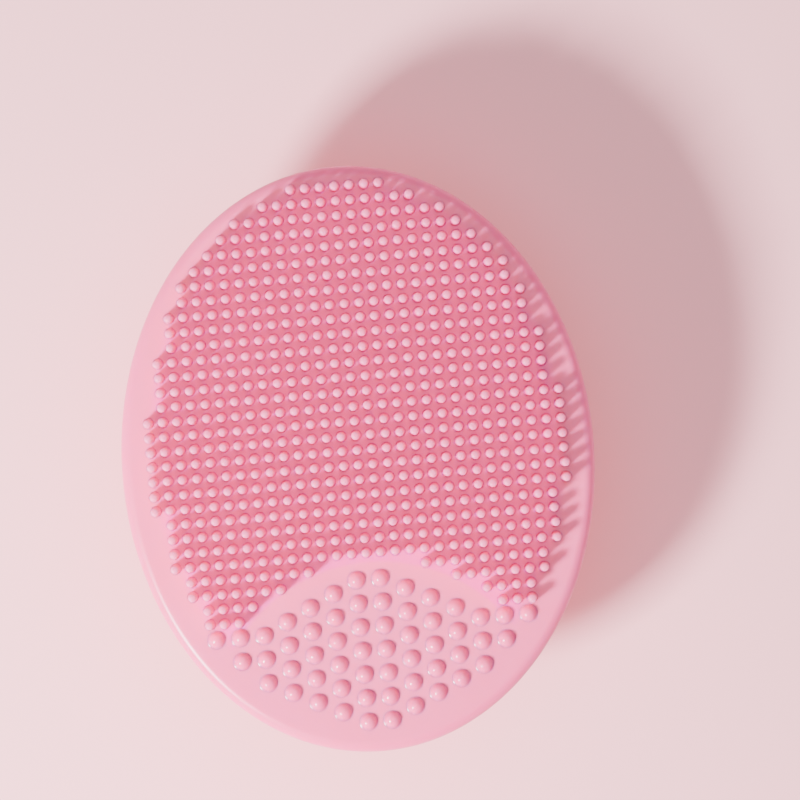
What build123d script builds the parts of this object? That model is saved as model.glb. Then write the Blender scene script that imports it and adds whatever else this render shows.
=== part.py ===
"""Hand-held silicone facial cleansing brush.

An oval pad carries fine bristles over most of its face and a fan of round nubs at one end. A waisted
neck on its back ends in a suction cup, so fingers fit each side of the neck and the cup holds the
brush to a wall or stands it on a table.

+Z points up out of the bristles, +Y runs along the pad away from the nubs, and the origin lies under
the middle of the pad, on the surface that the suction cup rests on.
"""

import os
from math import hypot, sqrt

from build123d import *

# ---- Driving dimensions, in millimetres ---------------------------------------------------------

# Oval pad
pad_length = 72.0
pad_width = 58.0
pad_thickness = 5.4
pad_back_z = 17.0
face_edge_radius = 1.4
back_edge_radius = 3.0

# Fine bristles, on a square grid that fills an oval field
bristle_pitch = 1.8
bristle_rows = 30
bristle_columns_each_side = 14
bristle_base_diameter = 1.2
bristle_height = 2.6
bristle_taper = 1.8
bristle_tip_radius = 0.35
top_row_y = 33.5
field_half_width = 25.7
field_half_length = 33.15
field_centre_y = 1.6

# The bristles stop at a round arch, which leaves room for the nubs
arch_radius = 21.0
arch_top_y = -12.4

# Round nubs, in chevron rows that grow shorter towards the end of the pad
nub_rows = 7
nub_radius = 1.0
nub_height = 0.85
nub_first_x = 1.47
nub_column_pitch = 2.95
nub_first_y = -14.75
nub_row_pitch = 2.9
nub_column_drop = 1.46
nub_dropping_columns = 4

# Waisted neck, between the pad's back and the suction cup
neck_foot_z = 8.5
neck_waist_radius = 6.5
neck_end_radius = 9.5
neck_foot_height = 2.0
neck_head_height = 2.0

# Suction cup: a stiff dome on a thin flexible lip
cup_radius = 19.5
lip_edge_width = 1.2
lip_edge_height = 0.6
lip_height = 4.0
lip_top_radius = 14.0
lip_top_width = 1.4
lip_flare = 0.7
dome_hollow_z = 6.2
dome_shoulder = 0.8

# ---- Derived dimensions -------------------------------------------------------------------------

face_z = pad_back_z + pad_thickness
arch_centre_y = arch_top_y - arch_radius
nub_sphere_radius = (nub_radius**2 + nub_height**2) / (2 * nub_height)

neck_middle_z = (neck_foot_z + pad_back_z) / 2
neck_half_height = (pad_back_z - neck_foot_z) / 2
neck_depth = neck_end_radius - neck_waist_radius
neck_arc_radius = (neck_half_height**2 + neck_depth**2) / (2 * neck_depth)

lip_top_inner_radius = lip_top_radius - lip_top_width
lip_edge_inner_radius = cup_radius - lip_edge_width
hollow_depth = dome_hollow_z - lip_height
hollow_arc_radius = (lip_top_inner_radius**2 + hollow_depth**2) / (2 * hollow_depth)


def save(piece, name):
    """Label a finished piece and write it to its own file."""
    piece.part.label = name
    export_step(piece.part, f"parts/{name}.step")


def nub_places(row):
    """Centres of the nubs in one chevron row, which is the same on both sides of the pad."""
    row_y = nub_first_y - (row - 1) * nub_row_pitch
    places = []
    for column in range(nub_rows - row + 1):
        x = nub_first_x + column * nub_column_pitch
        y = row_y - nub_column_drop * min(column, nub_dropping_columns)
        places += [(-x, y), (x, y)]
    return places


def bristle_grows_at(x, y):
    """True inside the oval field and outside the arch."""
    in_field = hypot(x / field_half_width, (y - field_centre_y) / field_half_length) <= 1
    above_arch = hypot(x, y - arch_centre_y) >= arch_radius
    return in_field and above_arch


def bristle_places(row):
    """Centres of the bristles in one straight row across the pad, counted from the top end."""
    y = top_row_y - (row - 1) * bristle_pitch
    columns = range(-bristle_columns_each_side, bristle_columns_each_side + 1)
    return [(n * bristle_pitch, y) for n in columns if bristle_grows_at(n * bristle_pitch, y)]


def neck_radius(z):
    """Radius of the neck at a height: a round arc, slimmest at the waist."""
    return neck_waist_radius + neck_arc_radius - sqrt(neck_arc_radius**2 - (z - neck_middle_z) ** 2)


def neck_point(z):
    """A point on the neck's outline, in the plane that is revolved."""
    return (neck_radius(z), z)


def hollow_z(radius):
    """Height of the dome's round hollow at a radius."""
    return dome_hollow_z - hollow_arc_radius + sqrt(hollow_arc_radius**2 - radius**2)


os.makedirs("parts", exist_ok=True)

# ---- Pad ----------------------------------------------------------------------------------------

with BuildPart() as pad_plate:
    with BuildSketch(Plane.XY.offset(pad_back_z)):
        Ellipse(pad_width / 2, pad_length / 2)
    extrude(amount=pad_thickness)
    fillet(pad_plate.edges().group_by(Axis.Z)[-1], face_edge_radius)
    fillet(pad_plate.edges().group_by(Axis.Z)[0], back_edge_radius)
save(pad_plate, "pad_plate")

# ---- Bristles: one node for each straight row ---------------------------------------------------

for row in range(1, bristle_rows + 1):
    with BuildPart() as bristle_row:
        with BuildSketch(Plane.XY.offset(face_z)):
            with Locations(*bristle_places(row)):
                Circle(bristle_base_diameter / 2)
        extrude(amount=bristle_height, taper=bristle_taper)
        fillet(bristle_row.edges().group_by(Axis.Z)[-1], bristle_tip_radius)
    save(bristle_row, f"bristle_row_{row:02d}")

# ---- Nubs: one node for each chevron row --------------------------------------------------------

for row in range(1, nub_rows + 1):
    sphere_z = face_z + nub_height - nub_sphere_radius
    with BuildPart() as nub_row:
        with Locations(*[(x, y, sphere_z) for x, y in nub_places(row)]):
            Sphere(nub_sphere_radius)
        split(bisect_by=Plane.XY.offset(face_z), keep=Keep.TOP)
    save(nub_row, f"nub_row_{row}")

# ---- Neck: a head on the pad, a waist that flexes and a foot on the cup -------------------------

waist_low_z = neck_foot_z + neck_foot_height
waist_high_z = pad_back_z - neck_head_height
neck_slices = {
    "neck_foot": (neck_foot_z, waist_low_z),
    "neck_waist": (waist_low_z, waist_high_z),
    "neck_head": (waist_high_z, pad_back_z),
}
for name, (low, high) in neck_slices.items():
    with BuildPart() as neck_slice:
        with BuildSketch(Plane.XZ):
            with BuildLine():
                Polyline(neck_point(low), (0, low), (0, high), neck_point(high))
                ThreePointArc(neck_point(low), neck_point((low + high) / 2), neck_point(high))
            make_face()
        revolve(axis=Axis.Z)
    save(neck_slice, name)

# ---- Suction cup --------------------------------------------------------------------------------

with BuildPart() as cup_dome:
    with BuildSketch(Plane.XZ):
        with BuildLine():
            Polyline((0, dome_hollow_z), (0, neck_foot_z), (neck_end_radius, neck_foot_z))
            SagittaArc((neck_end_radius, neck_foot_z), (lip_top_radius, lip_height), dome_shoulder)
            Line((lip_top_radius, lip_height), (lip_top_inner_radius, lip_height))
            ThreePointArc(
                (lip_top_inner_radius, lip_height),
                (lip_top_inner_radius / 2, hollow_z(lip_top_inner_radius / 2)),
                (0, dome_hollow_z),
            )
        make_face()
    revolve(axis=Axis.Z)
save(cup_dome, "cup_dome")

with BuildPart() as cup_lip:
    with BuildSketch(Plane.XZ):
        with BuildLine():
            Polyline((lip_edge_inner_radius, 0), (cup_radius, 0), (cup_radius, lip_edge_height))
            SagittaArc((cup_radius, lip_edge_height), (lip_top_radius, lip_height), lip_flare)
            Line((lip_top_radius, lip_height), (lip_top_inner_radius, lip_height))
            SagittaArc((lip_top_inner_radius, lip_height), (lip_edge_inner_radius, 0), -lip_flare)
        make_face()
    revolve(axis=Axis.Z)
save(cup_lip, "cup_lip")
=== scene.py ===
"""Looks of the silicone facial cleansing brush: smooth moulded pieces in translucent pink silicone."""

import random
from math import cos, hypot, pi, radians, sin, sqrt

import bmesh
import bpy
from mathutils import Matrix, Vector


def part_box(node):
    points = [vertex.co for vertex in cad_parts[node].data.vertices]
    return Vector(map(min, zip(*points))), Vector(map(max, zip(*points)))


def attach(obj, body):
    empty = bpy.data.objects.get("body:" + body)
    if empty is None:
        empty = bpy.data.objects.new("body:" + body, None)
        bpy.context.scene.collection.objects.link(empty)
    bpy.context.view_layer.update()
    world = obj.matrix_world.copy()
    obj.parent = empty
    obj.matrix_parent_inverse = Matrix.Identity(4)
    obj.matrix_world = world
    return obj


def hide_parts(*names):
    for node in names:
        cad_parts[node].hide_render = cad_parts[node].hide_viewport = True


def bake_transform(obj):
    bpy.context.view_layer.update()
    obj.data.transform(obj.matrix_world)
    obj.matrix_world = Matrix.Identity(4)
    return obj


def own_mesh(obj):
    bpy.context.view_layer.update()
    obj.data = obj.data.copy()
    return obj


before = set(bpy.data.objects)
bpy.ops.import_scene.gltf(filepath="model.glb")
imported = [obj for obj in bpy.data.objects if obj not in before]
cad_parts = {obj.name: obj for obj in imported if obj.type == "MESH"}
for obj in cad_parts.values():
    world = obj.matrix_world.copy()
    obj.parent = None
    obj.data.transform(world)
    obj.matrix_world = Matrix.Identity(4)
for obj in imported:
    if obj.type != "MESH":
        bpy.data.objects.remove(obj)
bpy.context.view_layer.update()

MM = 0.001

# ---- Places and sizes, from the frame -----------------------------------------------------------

pad_low, pad_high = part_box("pad_plate")
lip_low, lip_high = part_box("cup_lip")
dome_low, dome_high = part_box("cup_dome")
foot_low, foot_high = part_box("neck_foot")
head_low, head_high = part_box("neck_head")
waist_low, waist_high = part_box("neck_waist")
nub_low, nub_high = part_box("nub_row_7")
tip_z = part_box("bristle_row_01")[1].z

PAD_HALF_WIDTH = (pad_high.x - pad_low.x) / 2
PAD_HALF_LENGTH = (pad_high.y - pad_low.y) / 2
FACE_Z = pad_high.z
BACK_Z = pad_low.z
FACE_EDGE_RADIUS = 1.4 * MM
BACK_EDGE_RADIUS = 3.0 * MM

# Bristle grid
PITCH = 1.8 * MM
BRISTLE_ROWS = 30
COLUMNS_EACH_SIDE = 14
TOP_ROW_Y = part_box("bristle_row_01")[1].y - 0.6 * MM
FIELD_HALF_WIDTH = 25.7 * MM
FIELD_HALF_LENGTH = 33.15 * MM
FIELD_CENTRE_Y = 1.6 * MM
ARCH_RADIUS = 21.0 * MM
ARCH_CENTRE_Y = -33.4 * MM

# Nub fan
NUB_ROWS = 7
NUB_RADIUS = 1.0 * MM
NUB_HEIGHT = nub_high.z - nub_low.z
NUB_FIRST_X = 1.47 * MM
NUB_COLUMN_PITCH = 2.95 * MM
NUB_FIRST_Y = -14.75 * MM
NUB_ROW_PITCH = 2.9 * MM
NUB_COLUMN_DROP = 1.46 * MM
NUB_DROPPING_COLUMNS = 4

# Neck and cup
WAIST_RADIUS = 6.5 * MM
NECK_END_RADIUS = 9.5 * MM
NECK_MIDDLE_Z = (waist_low.z + waist_high.z) / 2
NECK_HALF_HEIGHT = (head_high.z - foot_low.z) / 2
NECK_DEPTH = NECK_END_RADIUS - WAIST_RADIUS
NECK_ARC_RADIUS = (NECK_HALF_HEIGHT**2 + NECK_DEPTH**2) / (2 * NECK_DEPTH)
CUP_RADIUS = lip_high.x
SHOULDER_RADIUS = dome_high.x
LIP_TOP_Z = lip_high.z
LIP_TOP_WIDTH = 1.4 * MM
LIP_EDGE_WIDTH = 1.2 * MM
LIP_EDGE_HEIGHT = 0.6 * MM
LIP_FLARE = 0.7 * MM
DOME_SHOULDER = 0.8 * MM
DOME_HOLLOW_Z = 6.2 * MM

ROUND_STEPS = 128
SHARP_ANGLE = radians(55)
random.seed(11)


# ---- Mesh helpers -------------------------------------------------------------------------------

def new_piece(name, mesh_data, material, body=None, nodes=()):
    """Make a smooth-shaded object from a bmesh and tie it to the frame."""
    bmesh.ops.recalc_face_normals(mesh_data, faces=mesh_data.faces)
    mesh = bpy.data.meshes.new(name)
    mesh_data.to_mesh(mesh)
    mesh_data.free()
    mesh.shade_smooth()
    mesh.set_sharp_from_angle(angle=SHARP_ANGLE)
    mesh.materials.append(material)
    piece = bpy.data.objects.new(name, mesh)
    bpy.context.scene.collection.objects.link(piece)
    if body:
        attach(piece, body)
    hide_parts(*nodes)
    return piece


def arc(centre, radius, start, end, steps):
    """Points of a round arc in the (r, z) plane, angles in degrees."""
    angles = [radians(start + (end - start) * n / steps) for n in range(steps + 1)]
    return [(centre[0] + radius * cos(a), centre[1] + radius * sin(a)) for a in angles]


def bulge(start, end, sagitta, steps):
    """Points along a shallow curve that stands off its chord by sagitta, to its left if positive."""
    a, b = Vector(start), Vector(end)
    chord = b - a
    left = Vector((-chord.y, chord.x)).normalized()
    shares = [n / steps for n in range(steps + 1)]
    return [tuple(a + chord * t + left * sagitta * 4 * t * (1 - t)) for t in shares]


def turned_ring(bm, centre, r, z, steps):
    """One ring of a turned shape, or a single point where r is 0."""
    if r < 1e-9:
        return [bm.verts.new((*centre, z))]
    angles = [2 * pi * n / steps for n in range(steps)]
    return [bm.verts.new((centre[0] + r * cos(a), centre[1] + r * sin(a), z)) for a in angles]


def skin(bm, rings, steps):
    """Faces from each ring to the next; a ring of one point closes an end."""
    for low, high in zip(rings, rings[1:]):
        for n in range(steps):
            m = (n + 1) % steps
            if len(low) == 1:
                bm.faces.new((low[0], high[n], high[m]))
            elif len(high) == 1:
                bm.faces.new((low[n], low[m], high[0]))
            else:
                bm.faces.new((low[n], low[m], high[m], high[n]))


def lathe(profile, closed=False):
    """Turn a profile of (r, z) points about Z; a closed one joins its end to its start."""
    bm = bmesh.new()
    rings = [turned_ring(bm, (0, 0), r, z, ROUND_STEPS) for r, z in profile]
    skin(bm, rings + rings[:1] if closed else rings, ROUND_STEPS)
    return bm


# ---- Silicone -----------------------------------------------------------------------------------

PIGMENT_SCALE = 130
PIGMENT_RANGE = (0.965, 1.03)
POLISH_SCALE = 420
POLISH_CHANGE = 0.07
GRAIN_SCALE = 5200
GRAIN_DEPTH = 0.03 * MM


def noise(tree, place, scale, detail):
    """Cloudy noise from 0 to 1."""
    texture = tree.nodes.new("ShaderNodeTexNoise")
    texture.inputs["Scale"].default_value = scale
    texture.inputs["Detail"].default_value = detail
    tree.links.new(place, texture.inputs["Vector"])
    return texture.outputs["Fac"]


def remap(tree, value, old, new=(0, 1), smooth=False):
    """A value moved from one range to another, held at the ends."""
    change = tree.nodes.new("ShaderNodeMapRange")
    change.interpolation_type = "SMOOTHSTEP" if smooth else "LINEAR"
    change.inputs["From Min"].default_value, change.inputs["From Max"].default_value = old
    change.inputs["To Min"].default_value, change.inputs["To Max"].default_value = new
    tree.links.new(value, change.inputs["Value"])
    return change.outputs["Result"]


def height_above(tree, place):
    """The Z of a place."""
    split = tree.nodes.new("ShaderNodeSeparateXYZ")
    tree.links.new(place, split.inputs[0])
    return split.outputs["Z"]


def silicone(name, deep, pale, pale_from, pale_to, roughness=0.42, glow=1.0, depth=2.0 * MM):
    """Translucent silicone, paler from one height to another; light goes in to a depth."""
    material = bpy.data.materials.new(name)
    material.use_nodes = True
    tree = material.node_tree
    nodes, links = tree.nodes, tree.links
    shader = nodes["Principled BSDF"]
    place = nodes.new("ShaderNodeTexCoord").outputs["Object"]
    tone = nodes.new("ShaderNodeMix")
    tone.data_type = "RGBA"
    tone.inputs["A"].default_value = (*deep, 1)
    tone.inputs["B"].default_value = (*pale, 1)
    height = remap(tree, height_above(tree, place), (pale_from, pale_to), smooth=True)
    links.new(height, tone.inputs["Factor"])
    # Cloudy variation of the pigment, a few millimetres across
    tint = nodes.new("ShaderNodeVectorMath")
    tint.operation = "SCALE"
    links.new(tone.outputs["Result"], tint.inputs[0])
    cloud = noise(tree, place, PIGMENT_SCALE, 3)
    links.new(remap(tree, cloud, (0.3, 0.7), PIGMENT_RANGE), tint.inputs["Scale"])
    links.new(tint.outputs["Vector"], shader.inputs["Base Color"])
    # Slight handling polish, and the mould's fine matt grain
    polish = noise(tree, place, POLISH_SCALE, 2)
    polish_range = (roughness - POLISH_CHANGE, roughness + POLISH_CHANGE)
    links.new(remap(tree, polish, (0, 1), polish_range), shader.inputs["Roughness"])
    bump = nodes.new("ShaderNodeBump")
    bump.inputs["Strength"].default_value = 0.12
    bump.inputs["Distance"].default_value = GRAIN_DEPTH
    links.new(noise(tree, place, GRAIN_SCALE, 4), bump.inputs["Height"])
    links.new(bump.outputs["Normal"], shader.inputs["Normal"])
    shader.inputs["Subsurface Weight"].default_value = glow
    shader.inputs["Subsurface Radius"].default_value = (0.8, 0.32, 0.42)
    shader.inputs["Subsurface Scale"].default_value = depth
    shader.inputs["IOR"].default_value = 1.45
    return material


def reach(tree, place, shift_y, scale):
    """Distance from the Z axis, once a place is scaled and then shifted along Y."""
    mapping = tree.nodes.new("ShaderNodeMapping")
    mapping.inputs["Location"].default_value = (0, shift_y, 0)
    mapping.inputs["Scale"].default_value = (*scale, 0)
    tree.links.new(place, mapping.inputs["Vector"])
    length = tree.nodes.new("ShaderNodeVectorMath")
    length.operation = "LENGTH"
    tree.links.new(mapping.outputs["Vector"], length.inputs[0])
    return length.outputs["Value"]


def product(tree, first, second):
    """Two values multiplied."""
    both = tree.nodes.new("ShaderNodeMath")
    both.operation = "MULTIPLY"
    tree.links.new(first, both.inputs[0])
    tree.links.new(second, both.inputs[1])
    return both.outputs["Value"]


def paint_shade_among_bristles(material, deep, shade_from, shade_to):
    """Paint shade into a colour where bristles crowd together, from one height to another: a deeper pink
    inside the bristle field and outside the arch round the nubs, standing in for the shade between the
    bristles.
    """
    tree = material.node_tree
    base_colour = tree.nodes["Principled BSDF"].inputs["Base Color"]
    plain = base_colour.links[0].from_socket
    place = tree.nodes.new("ShaderNodeTexCoord").outputs["Object"]
    field_reach = reach(tree, place, -FIELD_CENTRE_Y / FIELD_HALF_LENGTH,
                        (1 / FIELD_HALF_WIDTH, 1 / FIELD_HALF_LENGTH))
    arch_reach = reach(tree, place, -ARCH_CENTRE_Y, (1, 1))
    inside = remap(tree, field_reach, (1.01, 0.93), smooth=True)
    above = remap(tree, arch_reach, (ARCH_RADIUS - 0.6 * MM, ARCH_RADIUS), smooth=True)
    level = remap(tree, height_above(tree, place), (shade_from, shade_to), smooth=True)
    mix = tree.nodes.new("ShaderNodeMix")
    mix.data_type = "RGBA"
    tree.links.new(product(tree, product(tree, inside, above), level), mix.inputs["Factor"])
    tree.links.new(plain, mix.inputs["A"])
    mix.inputs["B"].default_value = (*deep, 1)
    tree.links.new(mix.outputs["Result"], base_colour)


# Painted shade: the first two pinks deepen the bristles and the pad's face between them, where shade falls.
# Painted light: the tip pink makes the bristle tips paler.
BRISTLE_SHADE_PINK = (1.0, 0.045, 0.37)
FLOOR_SHADE_PINK = (1.0, 0.075, 0.42)
PALE_PINK = (1.0, 0.13, 0.33)
LIT_TIP_PINK = (1.0, 0.17, 0.36)
GRIP_PINK = (1.0, 0.14, 0.36)

pad_silicone = silicone("pad_silicone", GRIP_PINK, PALE_PINK, BACK_Z, FACE_Z, 0.32, 1.0, 0.8 * MM)
# Painted shade: the pad's face among the bristles is deepened to a darker pink.
paint_shade_among_bristles(pad_silicone, FLOOR_SHADE_PINK, FACE_Z - 1 * MM, FACE_Z - 0.1 * MM)
nub_silicone = silicone("nub_silicone", PALE_PINK, PALE_PINK, FACE_Z, FACE_Z + NUB_HEIGHT, 0.17, 1.0, 0.8 * MM)
# Painted light and shade: the bristles are paler towards their tips, where light falls, and deepen to a darker
# pink towards their roots among the other bristles.
bristle_silicone = silicone("bristle_silicone", PALE_PINK, LIT_TIP_PINK, FACE_Z + 0.8 * MM, tip_z, 0.45)
paint_shade_among_bristles(bristle_silicone, BRISTLE_SHADE_PINK, tip_z, FACE_Z + 0.8 * MM)
grip_silicone = silicone("grip_silicone", GRIP_PINK, PALE_PINK, BACK_Z, 0, 0.42, 0.6, 0.7 * MM)


# ---- Pad ----------------------------------------------------------------------------------------

def oval(angle, inset, z):
    """A point on the pad's oval, moved inwards at right angles to its edge by inset."""
    x, y = PAD_HALF_WIDTH * cos(angle), PAD_HALF_LENGTH * sin(angle)
    out_x, out_y = cos(angle) / PAD_HALF_WIDTH, sin(angle) / PAD_HALF_LENGTH
    size = hypot(out_x, out_y)
    return (x - inset * out_x / size, y - inset * out_y / size, z)


def make_pad():
    """The oval plate: rounded edges, a flat face and a flat back."""
    face_bend = arc((FACE_EDGE_RADIUS, FACE_Z - FACE_EDGE_RADIUS), FACE_EDGE_RADIUS, 180, 90, 10)
    back_bend = arc((BACK_EDGE_RADIUS, BACK_Z + BACK_EDGE_RADIUS), BACK_EDGE_RADIUS, 270, 180, 14)
    edge = back_bend + face_bend
    bm = bmesh.new()
    steps = 2 * ROUND_STEPS
    side = [[bm.verts.new(oval(2 * pi * n / steps, inset, z)) for n in range(steps)] for inset, z in edge]
    back = [[bm.verts.new((v.co.x * share, v.co.y * share, BACK_Z)) for v in side[0]]
            for share in (0.25, 0.5, 0.75)]
    face = [[bm.verts.new((v.co.x * share, v.co.y * share, FACE_Z)) for v in side[-1]]
            for share in (0.75, 0.5, 0.25)]
    skin(bm, [[bm.verts.new((0, 0, BACK_Z))]] + back + side + face + [[bm.verts.new((0, 0, FACE_Z))]], steps)
    return new_piece("pad", bm, pad_silicone, "pad", ("pad_plate",))


# ---- Bristles and nubs --------------------------------------------------------------------------

def bristle_places(row):
    """Bristle centres in one row: inside the oval field and outside the arch round the nubs."""
    y = TOP_ROW_Y - (row - 1) * PITCH
    places = []
    for n in range(-COLUMNS_EACH_SIDE, COLUMNS_EACH_SIDE + 1):
        x = n * PITCH
        in_field = hypot(x / FIELD_HALF_WIDTH, (y - FIELD_CENTRE_Y) / FIELD_HALF_LENGTH) <= 1
        if in_field and hypot(x, y - ARCH_CENTRE_Y) >= ARCH_RADIUS:
            places.append((x, y))
    return places


def nub_places(row):
    """Nub centres in one chevron row."""
    places = []
    for column in range(NUB_ROWS - row + 1):
        x = NUB_FIRST_X + column * NUB_COLUMN_PITCH
        y = NUB_FIRST_Y - (row - 1) * NUB_ROW_PITCH
        y -= NUB_COLUMN_DROP * min(column, NUB_DROPPING_COLUMNS)
        places += [(-x, y), (x, y)]
    return places


def add_post(bm, x, y, profile, lean=(0.0, 0.0), steps=16):
    """Turn a profile of (r, height) points about an upright at x, y that leans towards its tip."""
    top = profile[-1][1]
    rings = []
    for r, h in profile:
        share = max(h / top, 0) ** 1.6
        rings.append(turned_ring(bm, (x + lean[0] * share, y + lean[1] * share), r, FACE_Z + h, steps))
    skin(bm, rings, steps)


# The posts' feet go this far into the pad
SINK = 0.12 * MM
BRISTLE_HEIGHT = tip_z - FACE_Z
TIP_RADIUS = 0.53 * MM
TIP_ROUND = 0.36 * MM
BASE_RADIUS = 0.60 * MM
ROOT_RADIUS = 0.72 * MM
MOST_LEAN = 0.09 * MM


def bristle_profile(height):
    """A tapered bristle with a flared root and a round tip."""
    shaft_top = height - TIP_ROUND
    tip = arc((TIP_RADIUS - TIP_ROUND, shaft_top), TIP_ROUND, 0, 90, 5)
    return ([(0, -SINK), (ROOT_RADIUS, -SINK), (ROOT_RADIUS * 0.97, 0.02 * MM), (BASE_RADIUS, 0.25 * MM),
             ((BASE_RADIUS + TIP_RADIUS) / 2, height / 2)] + tip + [(0, height + 0.02 * MM)])


def nub_profile():
    """A round dome with a soft fillet at its foot."""
    sphere = (NUB_RADIUS**2 + NUB_HEIGHT**2) / (2 * NUB_HEIGHT)
    foot = [(r * MM, h * MM) for r, h in [(1.16, 0.0), (1.08, 0.025), (1.01, 0.08), (0.965, 0.16)]]
    dome = arc((0, NUB_HEIGHT - sphere), sphere, 25, 90, 10)[:-1]
    return [(0, -SINK), (foot[0][0], -SINK)] + foot + dome + [(0, NUB_HEIGHT)]


def make_bristles():
    for row in range(1, BRISTLE_ROWS + 1):
        bm = bmesh.new()
        for x, y in bristle_places(row):
            lean_way, lean_size = random.uniform(0, 2 * pi), MOST_LEAN * random.random()
            lean = (lean_size * cos(lean_way), lean_size * sin(lean_way))
            height = BRISTLE_HEIGHT - 0.05 * MM * random.random() - 0.02 * MM
            add_post(bm, x, y, bristle_profile(height), lean)
        new_piece(f"bristles_{row:02d}", bm, bristle_silicone, "pad",
                  (f"bristle_row_{row:02d}",))


def make_nubs():
    for row in range(1, NUB_ROWS + 1):
        bm = bmesh.new()
        for x, y in nub_places(row):
            add_post(bm, x, y, nub_profile(), steps=32)
        new_piece(f"nubs_{row}", bm, nub_silicone, "pad", (f"nub_row_{row}",))


# ---- Neck and suction cup -----------------------------------------------------------------------

def neck_radius(z):
    return WAIST_RADIUS + NECK_ARC_RADIUS - sqrt(NECK_ARC_RADIUS**2 - (z - NECK_MIDDLE_Z) ** 2)


def neck_side(low, high, steps=12):
    """The neck's outline between two heights."""
    heights = [low + (high - low) * n / steps for n in range(steps + 1)]
    return [(neck_radius(z), z) for z in heights]


def make_neck():
    """Head and foot, and a waist in two halves split at the neck's middle."""
    head = [(0, head_low.z)] + neck_side(head_low.z, head_high.z - 0.35 * MM)
    head += [(NECK_END_RADIUS + 0.25 * MM, head_high.z - 0.1 * MM), (NECK_END_RADIUS + 0.7 * MM, head_high.z),
             (0, head_high.z)]
    new_piece("neck_head_skin", lathe(head), grip_silicone, "pad", ("neck_head",))
    foot = [(0, foot_low.z), (NECK_END_RADIUS + 0.3 * MM, foot_low.z - 0.05 * MM)]
    foot += neck_side(foot_low.z + 0.25 * MM, foot_high.z) + [(0, foot_high.z)]
    new_piece("neck_foot_skin", lathe(foot), grip_silicone, "cup", ("neck_foot",))
    lower = [(0, waist_low.z)] + neck_side(waist_low.z, NECK_MIDDLE_Z) + [(0, NECK_MIDDLE_Z)]
    upper = [(0, NECK_MIDDLE_Z)] + neck_side(NECK_MIDDLE_Z, waist_high.z) + [(0, waist_high.z)]
    lower_piece = new_piece("neck_waist_lower", lathe(lower), grip_silicone, None,
                            ("neck_waist",))
    upper_piece = new_piece("neck_waist_upper", lathe(upper), grip_silicone, None,
                            ("neck_waist",))
    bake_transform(lower_piece)
    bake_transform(upper_piece)


def make_cup():
    """A stiff dome on a thin flared lip, which flattens as the cup is pressed on."""
    hollow_radius = SHOULDER_RADIUS - LIP_TOP_WIDTH
    depth = DOME_HOLLOW_Z - LIP_TOP_Z
    hollow = [(hollow_radius * share, LIP_TOP_Z + depth * (1 - share**2))
              for share in [n / 16 for n in range(16, 0, -1)]]
    dome = [(0, foot_low.z), (NECK_END_RADIUS, foot_low.z)]
    dome += bulge((NECK_END_RADIUS, foot_low.z), (SHOULDER_RADIUS, LIP_TOP_Z), DOME_SHOULDER, 14)[1:]
    dome += hollow + [(0, DOME_HOLLOW_Z)]
    new_piece("suction_cup_dome", lathe(dome), grip_silicone, "cup", ("cup_dome",))
    outer = bulge((CUP_RADIUS, LIP_EDGE_HEIGHT), (SHOULDER_RADIUS, LIP_TOP_Z), LIP_FLARE, 14)
    inner = bulge((hollow_radius, LIP_TOP_Z), (CUP_RADIUS - LIP_EDGE_WIDTH, 0), -LIP_FLARE, 14)
    edge = arc((CUP_RADIUS - LIP_EDGE_HEIGHT / 2, LIP_EDGE_HEIGHT / 2), LIP_EDGE_HEIGHT / 2, -90, 60, 6)
    lip = new_piece("suction_cup_lip", lathe(edge + outer[1:] + inner, closed=True), grip_silicone, "lip",
                    ("cup_lip",))
    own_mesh(lip)


# ---- Stage --------------------------------------------------------------------------------------

def make_stage():
    """A plain pale floor."""
    mesh = bpy.data.meshes.new("floor")
    reach = 3.0
    mesh.from_pydata([(-reach, -reach, 0), (reach, -reach, 0), (reach, reach, 0), (-reach, reach, 0)], [],
                     [(0, 1, 2, 3)])
    floor = bpy.data.objects.new("floor", mesh)
    bpy.context.scene.collection.objects.link(floor)
    material = bpy.data.materials.new("floor_paint")
    material.use_nodes = True
    shader = material.node_tree.nodes["Principled BSDF"]
    shader.inputs["Base Color"].default_value = (1.0, 0.46, 0.52, 1)
    shader.inputs["Roughness"].default_value = 0.9
    mesh.materials.append(material)


def make_light(name, position, size, power, tint=(1, 1, 1)):
    """A square studio light that faces the brush."""
    data = bpy.data.lights.new(name, "AREA")
    data.size, data.energy, data.color = size, power, tint
    lamp = bpy.data.objects.new(name, data)
    lamp.location = position
    lamp.rotation_euler = (Vector((0, 0, FACE_Z)) - Vector(position)).to_track_quat("-Z", "Y").to_euler()
    bpy.context.scene.collection.objects.link(lamp)


def make_lights():
    """A key light low on the near left, and soft fill all round."""
    key_way, key_rise, key_distance = radians(215), radians(42), 0.4
    key_reach = key_distance * cos(key_rise)
    make_light("key", (key_reach * cos(key_way), key_reach * sin(key_way), key_distance * sin(key_rise)),
               0.07, 6)
    make_light("overhead", (0.1, 0.1, 1.2), 1.2, 9)
    world = bpy.data.worlds.new("studio")
    world.use_nodes = True
    world.node_tree.nodes["Background"].inputs["Color"].default_value = (1.0, 0.95, 0.96, 1)
    world.node_tree.nodes["Background"].inputs["Strength"].default_value = 0.55
    bpy.context.scene.world = world


def make_camera():
    """Straight above the face, turned so that the pad leans by five degrees."""
    roll = radians(5)
    distance, frame_width = 0.6, 97.96 * MM
    data = bpy.data.cameras.new("camera")
    data.lens = data.sensor_width * distance / frame_width
    camera = bpy.data.objects.new("camera", data)
    right, up = 5.15 * MM, 7.22 * MM
    camera.location = (right * cos(roll) + up * sin(roll), up * cos(roll) - right * sin(roll),
                       FACE_Z + distance)
    camera.rotation_euler = (0, 0, -roll)
    bpy.context.scene.collection.objects.link(camera)
    bpy.context.scene.camera = camera


make_camera()
make_pad()
make_bristles()
make_nubs()
make_neck()
make_cup()
make_stage()
make_lights()
